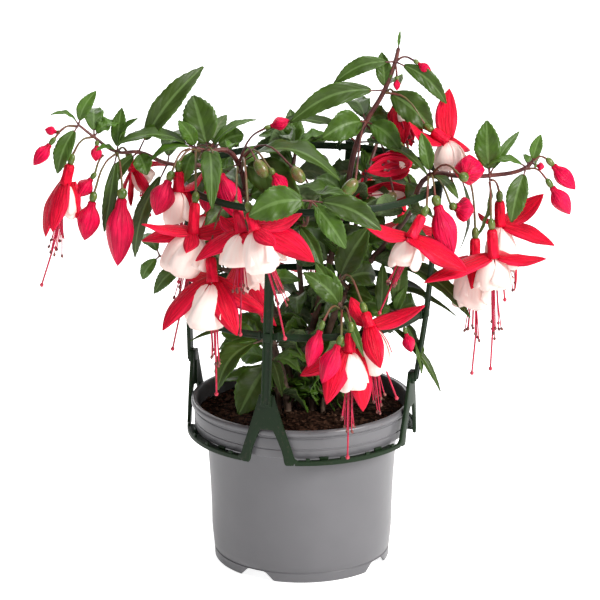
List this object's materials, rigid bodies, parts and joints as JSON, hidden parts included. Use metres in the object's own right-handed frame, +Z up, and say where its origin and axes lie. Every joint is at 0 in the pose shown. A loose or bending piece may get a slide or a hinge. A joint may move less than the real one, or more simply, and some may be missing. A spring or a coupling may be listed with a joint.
{
  "type": "potted fuchsia with plant support",
  "caption": "Bushy flowering fuchsia in a grey plastic nursery pot, held by a green clip-on support with stakes and rings; red and cream hanging flowers.",
  "frame": {"origin": "on the floor at the middle of the bounding box, which is also the middle of the pot foot", "axes": "+Z up, -Y towards the front of the plant, +X to the right seen from the front"},
  "size_m": [0.3573, 0.234, 0.364],
  "materials": {
    "pot": "satin moulded polypropylene",
    "compost": "moist crumbly peat compost",
    "support": "satin dark green plastic",
    "foliage": "satin leaves on dark red-brown stems",
    "flower": "soft satin petals, red outside and cream-pink inside",
    "bud": "soft satin closed sepals"
  },
  "bodies": {
    "root": {"pot": "pot", "soil": "compost", "support_base": "support", "support_stake_front": "support", "support_stake_right": "support", "support_stake_back": "support", "support_stake_left": "support", "support_ring_middle": "support", "support_ring_top": "support", "left_shoot": "foliage", "far_left_shoot": "foliage", "left_inner_shoot": "foliage", "centre_shoot": "foliage", "top_shoot": "foliage", "right_shoot": "foliage", "front_shoot": "foliage", "low_left_shoot": "foliage", "low_right_shoot": "foliage", "back_left_shoot": "foliage", "back_shoot": "foliage", "back_right_shoot": "foliage", "flower_far_left": "flower", "flower_left_behind": "flower", "flower_left": "flower", "flower_left_upper": "flower", "flower_centre_left": "flower", "flower_centre": "flower", "flower_lower_left": "flower", "flower_inner_left": "flower", "flower_centre_right": "flower", "flower_upper_right": "flower", "flower_opening": "flower", "flower_right_behind": "flower", "flower_right": "flower", "flower_right_inner": "flower", "flower_lying": "flower", "flower_inner_right": "flower", "flower_front": "flower", "flower_front_right": "flower", "flower_back_left": "flower", "flower_back_left_end": "flower", "flower_back": "flower", "flower_back_low": "flower", "flower_back_right": "flower", "flower_back_right_low": "flower", "bud_far_left": "bud", "bud_left_small": "bud", "bud_left_opening": "bud", "bud_left_long": "bud", "bud_left_pink": "bud", "bud_centre_left": "bud", "bud_centre": "bud", "bud_right_round": "bud", "bud_right_inner": "bud", "bud_centre_right": "bud", "bud_far_right_upper": "bud", "bud_far_right_lower": "bud", "bud_front_left": "bud", "bud_front": "bud"}
  },
  "joints": []
}
